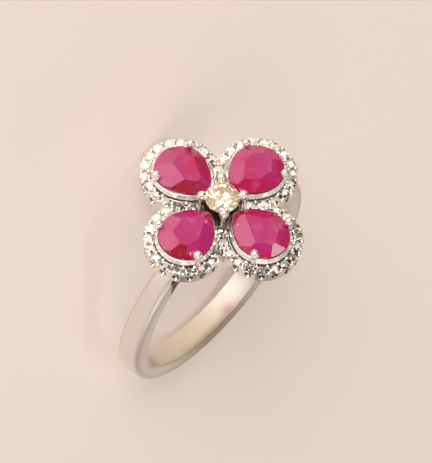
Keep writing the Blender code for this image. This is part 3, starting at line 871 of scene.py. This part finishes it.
# Gallery under the head
gallery = {
    "bridgeRadius": 0.33,
    "bridgeClearance": 0.12,
    "bridgeEndDrop": 0.48,
    "bridgeReach": 1.1,      # shares of the distance to the basket's foot: its ends
    "bridgeLevel": 0.8,      # and the level part
    "bridgeRise": 0.3,
    "bridgeStations": 89,
    "bridgeSides": 20,
    "blockLength": 1.0,
    "blockWidth": 1.3,
    "blockInset": 0.2,
    "blockDrop": 0.57,
    "blockPower": 0.35,
    "blockSides": 32,
    "blockTop": 0.1,
    "blockTopWidth": 0.95,
}
footReach = ring["pearMiddle"] + ring["pearRadius"] - setting["basketTaper"]


def bridgePoints():
    # a round wire along the +X-Y diagonal, level under the finger's top and turned up at its ends
    shape = gallery
    low = ring["fingerRadius"] + shape["bridgeClearance"] + shape["bridgeRadius"]
    high = ring["haloBottom"] - shape["bridgeEndDrop"]
    along = np.linspace(-shape["bridgeReach"], shape["bridgeReach"], shape["bridgeStations"])
    height = low + (high - low) * smooth(ramp(np.abs(along) - shape["bridgeLevel"], shape["bridgeRise"]))
    along = along * footReach
    tilt = np.arctan(np.gradient(height, along))[:, None]
    across, normal = onCircle(shape["bridgeRadius"], fullTurn(shape["bridgeSides"])).T
    alongWire = along[:, None] - normal * np.sin(tilt)
    z = height[:, None] + normal * np.cos(tilt)
    return asGrid(stacked((alongWire + across) * diagonal, (across - alongWire) * diagonal, z))


def blockPoints(degrees):
    # a rounded block: levels of a rounded rectangle, drawn in a little at its top
    shape = gallery
    outer = ring["fingerRadius"] + bandShape["thicknessAtHead"]
    end = footReach - shape["blockInset"]
    low = math.sqrt(outer ** 2 - end ** 2) - bandShape["thicknessAtHead"] / 2
    high = ring["haloBottom"] - shape["blockDrop"]
    waves = onCircle(1, fullTurn(shape["blockSides"]))
    half = np.array([shape["blockLength"], shape["blockWidth"]]) / 2
    outline = half * np.sign(waves) * np.abs(waves) ** shape["blockPower"]
    levels = np.array([low, low, high - shape["blockTop"], high])[:, None]
    shrink = np.array([0.0, 1.0, 1.0, shape["blockTopWidth"]])[:, None]
    points, faces = asGrid(stacked(end - half[0] + outline[:, 0] * shrink, outline[:, 1] * shrink, levels))
    return turned(points, degrees), faces


makePiece("gallery", *joined([bridgePoints(), blockPoints(45), blockPoints(225)]), settingGold, 40)

# Cut stones
gemLimits = {"leastSpan": 1e-5, "outsideBy": 1e-6, "digits": 3, "offPlane": 20.0}
# every facet's tone is painted light and reflection; the girdle's is one for all
girdleTone = 0.3


def facetPlanes(work, normals, distances):
    # the plane that each face lies in: the one it faces most, less for every distance from it
    middles = np.array([face.calc_center_median() for face in work.faces])
    outward = np.array([face.normal for face in work.faces])
    apart = np.abs(middles @ normals.T - distances)
    return (outward @ normals.T - gemLimits["offPlane"] * apart).argmax(axis=1)


def gemFromPlanes(normals, distances):
    # the convex solid inside a set of planes: its corners are the meetings of three planes that
    # no other plane cuts off, their hull is the stone, and hull faces of one plane are one facet
    triples = np.array(list(itertools.combinations(range(len(normals)), 3)))
    sides = normals[triples]
    usable = np.abs(np.linalg.det(sides)) > gemLimits["leastSpan"]
    corners = np.linalg.solve(sides[usable], distances[triples[usable]][..., None])[..., 0]
    corners = corners[(corners @ normals.T <= distances + gemLimits["outsideBy"]).all(axis=1)]
    rounded = np.round(corners, gemLimits["digits"])
    corners = corners[np.unique(rounded, axis=0, return_index=True)[1]]
    work = bmesh.new()
    for corner in corners:
        work.verts.new(corner)
    bmesh.ops.convex_hull(work, input=work.verts)
    work.normal_update()
    work.verts.index_update()
    work.faces.index_update()
    plane = facetPlanes(work, normals, distances)
    inside = [
        edge for edge in work.edges
        if len(edge.link_faces) == 2 and plane[edge.link_faces[0].index] == plane[edge.link_faces[1].index]
    ]
    bmesh.ops.dissolve_edges(work, edges=inside, use_verts=False)
    work.normal_update()
    return work, facetPlanes(work, normals, distances)


def stonePlanes(outline, cut):
    # girdle planes round the outline, one table, then the cut's facets: each plane touches the
    # outline's edge, drawn in by its inset, and leans in by its slope
    edges = np.roll(outline, -1, axis=0) - outline
    across = stacked(edges[:, 1], -edges[:, 0])
    across /= np.maximum(lengths(across), 1e-9)[:, None]
    across *= np.sign(((outline - outline.mean(axis=0)) * across).sum(axis=1))[:, None]
    side, direction, slope, inset, tone = np.array(cut["facets"]).T
    direction, slope = np.radians(direction), np.radians(slope)
    reach = (onCircle(1, direction) @ outline.T).max(axis=1) - inset
    edge = np.where(side > 0, cut["topEdge"], cut["lowEdge"])
    normals = np.concatenate([
        stacked(across[:, 0], across[:, 1], 0),
        [[0.0, 0.0, 1.0]],
        onCircle(np.sin(slope), direction, side * np.cos(slope)),
    ])
    distances = np.concatenate([
        (across * outline).sum(axis=1),
        [cut["topEdge"] + cut["tableRise"]],
        reach * np.sin(slope) + side * edge * np.cos(slope),
    ])
    return normals, distances, np.concatenate([np.full(len(outline), girdleTone), [cut["tableTone"]], tone])


def makeStone(name, outline, cut, degrees, material, node):
    normals, distances, tones = stonePlanes(outline, cut)
    work, plane = gemFromPlanes(normals, distances)
    mesh = bpy.data.meshes.new(name)
    work.to_mesh(mesh)
    work.free()
    corners = np.empty(len(mesh.vertices) * 3)
    mesh.vertices.foreach_get("co", corners)
    mesh.vertices.foreach_set("co", toWorld(turned(corners.reshape(-1, 3), degrees)).ravel())
    # each facet takes its tone of painted light and reflection
    addLayer(mesh, "facetLight", tones[plane], "FACE")
    placePiece(name, mesh, material, node)


# Each ruby's cut is listed: direction from its own long axis, slope and tone of its crown's facets.
# the tones are painted light: the crown's light and dark reflections, facet by facet
rubyCrowns = {
    "north_east": (
        (128, 28, 0.80), (98, 28, 0.74), (45, 29, 0.74), (0, 30, 0.52), (310, 30, 0.45), (262, 31, 0.45),
        (222, 33, 0.42), (185, 40, 0.10), (150, 44, 0.60), (112, 43, 0.60), (72, 41, 0.55), (22, 41, 0.40),
        (335, 41, 0.42), (287, 41, 0.45), (242, 41, 0.40), (205, 43, 0.20),
    ),
    "north_west": (
        (76, 21, 0.80), (10, 24, 0.78), (325, 30, 0.50), (285, 31, 0.40), (240, 31, 0.42), (205, 35, 0.45),
        (165, 33, 0.20), (122, 33, 0.05), (100, 43, 0.30), (305, 42, 0.45),
        (262, 41, 0.40), (222, 41, 0.45), (182, 44, 0.30), (140, 43, 0.10),
    ),
    "south_west": (
        (338, 27, 0.84), (282, 26, 0.82), (236, 32, 0.62), (200, 36, 0.35), (160, 38, 0.15), (118, 31, 0.50),
        (70, 31, 0.45), (25, 33, 0.05), (258, 43, 0.50), (2, 43, 0.15), (48, 43, 0.10),
        (95, 41, 0.50), (140, 43, 0.40), (180, 45, 0.10), (218, 43, 0.45),
    ),
    "south_east": (
        (239, 27, 0.90), (200, 38, 0.30), (165, 37, 0.12), (120, 31, 0.50), (75, 30, 0.46), (28, 32, 0.42),
        (306, 33, 0.48), (348, 41, 0.95), (215, 43, 0.30), (268, 43, 0.35), (52, 41, 0.40),
        (98, 41, 0.45), (144, 43, 0.20), (182, 45, 0.10),
    ),
}
# The pavilion's rows: slope and inset, then the directions of their facets
rubyPavilions = (
    (38, 0, (0, 45, 90, 132, 180, 228, 270, 315)),
    (47, 0.05, (11, 34, 56, 79, 101, 124, 143, 165, 195, 217, 236, 259, 281, 304, 326, 349)),
)
rubyPavilion = [(-1, turn, slope, inset, 0.3) for slope, inset, turns in rubyPavilions for turn in turns]
rubyOutline = pearPoints(0.0, 22, 6)
for where, degrees in petals.items():
    rubyCut = {
        "topEdge": ring["rubyGirdle"] + ring["girdle"],
        "lowEdge": ring["rubyGirdle"],
        "tableRise": 0.62,
        "tableTone": 0.52,
        "facets": [(1, turn, slope, 0, tone) for turn, slope, tone in rubyCrowns[where]] + rubyPavilion,
    }
    makeStone("rubyStone_" + where, rubyOutline, rubyCut, degrees, rubyStone, "ruby_" + where)

# The centre stone's rows: side, first direction, step, slope, inset and the tones of painted reflection in
# turn
girdleTones = (0.55, 0.85, 0.30, 0.65, 0.95, 0.20, 0.75, 0.45)
brilliant = {
    "radius": 1.38,
    "sides": 32,
    "rows": (
        (1, 0.0, 45.0, 34.5, 0, (0.35, 0.22, 0.50, 0.80, 0.50, 0.75, 0.90, 0.80)),
        (1, 22.5, 45.0, 22, -0.357, (0.30, 0.15, 0.60, 0.90, 0.40, 0.85, 0.60, 0.95)),
        (1, 11.25, 22.5, 41, 0, [girdleTones[i * 3 % 8] for i in range(16)]),
        (-1, 0.0, 45.0, 40.8, 0, (0.40, 0.05, 0.10, 0.75, 0.50, 0.90, 0.65, 0.95)),
        (-1, 11.25, 22.5, 42, 0, [girdleTones[(i * 3 + 1) % 8] for i in range(16)]),
    ),
}
centreCut = {
    "topEdge": ring["centreGirdle"] + ring["girdle"],
    "lowEdge": ring["centreGirdle"],
    "tableRise": 0.408,
    "tableTone": 0.62,
    "facets": [
        (side, first + step * i, slope, inset, tone)
        for side, first, step, slope, inset, tones in brilliant["rows"] for i, tone in enumerate(tones)
    ],
}
centreOutline = onCircle(brilliant["radius"], fullTurn(brilliant["sides"]))
makeStone("centreStone", centreOutline, centreCut, 0, centreStone, "centre_diamond")

# Halo diamonds
small = {
    "radius": 0.435,
    "table": 0.21,
    "rise": 0.19,
    "kiteShare": 0.52,       # how far down the crown and out its star points lie
    "culetShare": 0.86,
    "girdleDrop": 0.02,
    "tilt": 9.0,
    "tableTones": (0.3, 0.9),
    "shadeTone": 0.78,        # how much painted shade the facets take on the halo's shaded side
    "shadeMiddle": 0.45,
    # how much darker, as painted shade, the valleys' stones are
    "valleyTone": 0.12,
    "seed": 4,
}


def smallStonePoints():
    # one brilliant: table corners, star points, girdle and culet
    eight, sixteen = fullTurn(8), fullTurn(16)
    rise, share = small["rise"], small["kiteShare"]
    circles = (
        (small["table"], eight, rise),
        ((small["table"] + small["radius"]) * share, eight + math.pi / 8, rise * share),
        (small["radius"], sixteen, 0),
        (0, fullTurn(1), -small["radius"] * small["culetShare"]),
    )
    points = np.concatenate([onCircle(*circle) for circle in circles])
    faces = [list(range(8))]
    culet = 32
    for side in range(8):
        mid, low, high = 8 + side, 16 + 2 * side, 16 + (2 * side + 2) % 16
        between = low + 1
        faces += [
            [side, mid, (side + 1) % 8],
            [side, 8 + (side - 1) % 8, low, mid],
            [mid, low, between],
            [mid, between, high],
            [low, culet, between],
            [between, culet, high],
        ]
    return points, faces


def haloStones():
    # every copy is turned, tipped a few degrees at random and set in its place; each facet has
    # a random tone of painted reflection, with painted shade on the halo's shaded side and in the valleys
    one, faces = smallStonePoints()
    places = stonePlaces()
    count = len(places)
    rng = np.random.default_rng(small["seed"])
    turn = np.radians(places[:, 2] + rng.uniform(0, 45, count))
    tip = np.radians(rng.uniform(-small["tilt"], small["tilt"], (count, 2)))
    turns = turnsAbout(0, tip[:, 0]) @ turnsAbout(1, tip[:, 1]) @ turnsAbout(2, turn)
    moved = np.einsum("kim,vm,k->kvi", turns, one, places[:, 3])
    centre = stacked(places[:, 0], places[:, 1], ring["haloTop"] - small["girdleDrop"])
    points = (moved + centre[:, None]).reshape(-1, 3)
    allFaces = [[corner + stone * len(one) for corner in face] for stone in range(count) for face in faces]
    tones = rng.uniform(0, 1, len(allFaces))
    tones[:: len(faces)] = rng.uniform(*small["tableTones"], count)
    sideShade = small["shadeTone"] * (small["shadeMiddle"] - paintedShadeSide(places))
    sideShade = sideShade - small["valleyTone"] * (places[:, 3] > 1)
    return points, allFaces, np.clip(tones + np.repeat(sideShade, len(faces)), 0, 1)


stonePoints, stoneFaces, stoneTones = haloStones()
haloMesh = makePiece("haloDiamonds", stonePoints, stoneFaces, smallStone, slot="diamond")
addLayer(haloMesh, "facetLight", stoneTones, "FACE")

# Floor
floorShape = {
    "radius": 0.60,
    "rings": 24,
    "sides": 96,
    "colour": (0.81, 0.705, 0.64, 1),
    "shader": {"Roughness": 0.6, "Specular IOR Level": 0.2, "Emission Strength": 0.22},
}


def makeFloor():
    # a flat disc: rings of points whose radius grows with the square of their number
    radius = floorShape["radius"] * np.linspace(0, 1, floorShape["rings"])[:, None] ** 2
    points, faces = asGrid(onCircle(radius, fullTurn(floorShape["sides"]), 0))
    mesh = bpy.data.meshes.new("floor")
    mesh.from_pydata(points.tolist(), [], faces[:, ::-1].tolist())    # reversed: they face up
    cleaned(mesh, closed=False)
    material, tree, shader = newMaterial("paleFloor")
    colour = floorShape["colour"]
    setInputs(tree, shader, {"Base Color": colour, "Emission Color": colour, **floorShape["shader"]})
    mesh.materials.append(material)
    floor = newObject("floor", mesh)


makeFloor()

# Camera: the photograph's angle to the ring, with its roll
cameraView = {
    "azimuth": 29.90,
    "elevation": 32.74,
    "roll": -119.52,
    "aim": (0.001935, -0.008137, 0.008556),
    "distance": 0.23649,
    "lens": 233.65,
    "sensor": 36,
    "clip": (0.01, 5),
}


def makeCamera():
    azimuth, elevation, roll = (math.radians(cameraView[name]) for name in ("azimuth", "elevation", "roll"))
    back = Vector((
        math.sin(azimuth) * math.cos(elevation),
        -math.cos(azimuth) * math.cos(elevation),
        math.sin(elevation),
    ))
    level = Vector((math.cos(azimuth), math.sin(azimuth), 0))
    up = back.cross(level) * math.cos(roll) + level * math.sin(roll)
    place = Vector(cameraView["aim"]) + back * cameraView["distance"]
    data = bpy.data.cameras.new("camera")
    data.lens = cameraView["lens"]
    data.sensor_width = cameraView["sensor"]
    data.clip_start, data.clip_end = cameraView["clip"]
    camera = newObject("camera", data)
    camera.matrix_world = Matrix(((*up.cross(back), 0), (*up, 0), (*back, 0), (*place, 1))).transposed()
    bpy.context.scene.camera = camera


makeCamera()

# Lights: each is placed by its direction from the ring's middle, in the world
ringMiddle = Vector((0, -0.006, 0.007))
lights = {
    "key": {
        "from": (-0.10, 0.20, 0.97), "distance": 0.45, "size": 0.32, "power": 0.20,
        "colour": (1.0, 0.97, 0.93),
    },
    "front": {
        "from": (0.30, -0.88, 0.35), "distance": 0.50, "size": 0.22, "power": 1.10,
        "colour": (1.0, 0.98, 0.96),
    },
}


def makeLights():
    for name, look in lights.items():
        data = bpy.data.lights.new(name, "AREA")
        data.energy = look["power"]
        data.size = look["size"]
        data.color = look["colour"]
        lamp = newObject(name, data)
        away = Vector(look["from"]).normalized()
        lamp.location = ringMiddle + away * look["distance"]
        lamp.rotation_euler = away.to_track_quat("Z", "Y").to_euler()


makeLights()

# The room: a dim base and soft bright windows, each a direction, the half-angles in degrees
# where it starts to fade and where it ends, and a colour
room = {
    "base": (0.225, 0.205, 0.188, 1),
    "windows": (
        ((0.67, 0.08, 0.74), 7, 25, (0.85, 0.81, 0.77, 1)),
        ((0.24, -0.97, 0.04), 14, 32, (5.2, 5.0, 4.8, 1)),
        ((0.97, 0.10, 0.22), 15, 45, (0.38, 0.35, 0.32, 1)),
        ((-0.50, -0.86, 0.02), 22, 46, (0.55, 0.50, 0.45, 1)),
        ((0.50, 0.62, 0.60), 20, 42, (0.42, 0.35, 0.30, 1)),
        ((-0.19, -0.24, 0.95), 5, 9, (3.0, 2.9, 2.8, 1)),
        ((-0.40, 0.90, 0.10), 12, 40, (0.38, 0.31, 0.25, 1)),
    ),
}


def windowGroup():
    # A window's colour fades from full inside one cone about its direction to nothing outside
    # a wider one, by a smooth step of the cosine.
    inputs = {"Vector": ["Vector", "Direction"], "Float": ["Inner", "Outer"], "Color": ["Tint"]}
    group, given, end = newGroup("softWindow", inputs, {"Color": ["Color"]})
    vectors = {0: given["Vector"], 1: given["Direction"]}
    cosine = addNode(group, "VectorMath", vectors, operation="DOT_PRODUCT")["Value"]
    share = smoothRange(group, cosine, (given["Outer"], given["Inner"]))
    setInputs(group, end, {"Color": mixed(group, share, (0, 0, 0, 1), given["Tint"])})
    return group


def makeRoom():
    world = bpy.data.worlds.new("studio")
    bpy.context.scene.world = world
    world.use_nodes = True
    tree = world.node_tree
    group = windowGroup()
    total = room["base"]
    for towards, inner, outer, colour in room["windows"]:
        window = useGroup(tree, group, {
            "Direction": Vector(towards).normalized(),
            "Inner": math.cos(math.radians(inner)),
            "Outer": math.cos(math.radians(outer)),
            "Tint": colour,
        }, "Generated")
        total = mixed(tree, 1.0, total, window["Color"], "ADD")
    setInputs(tree, tree.nodes["Background"], {"Color": total})


makeRoom()
bpy.context.scene.view_settings.view_transform = "Standard"
print("floor, camera and lights ready")
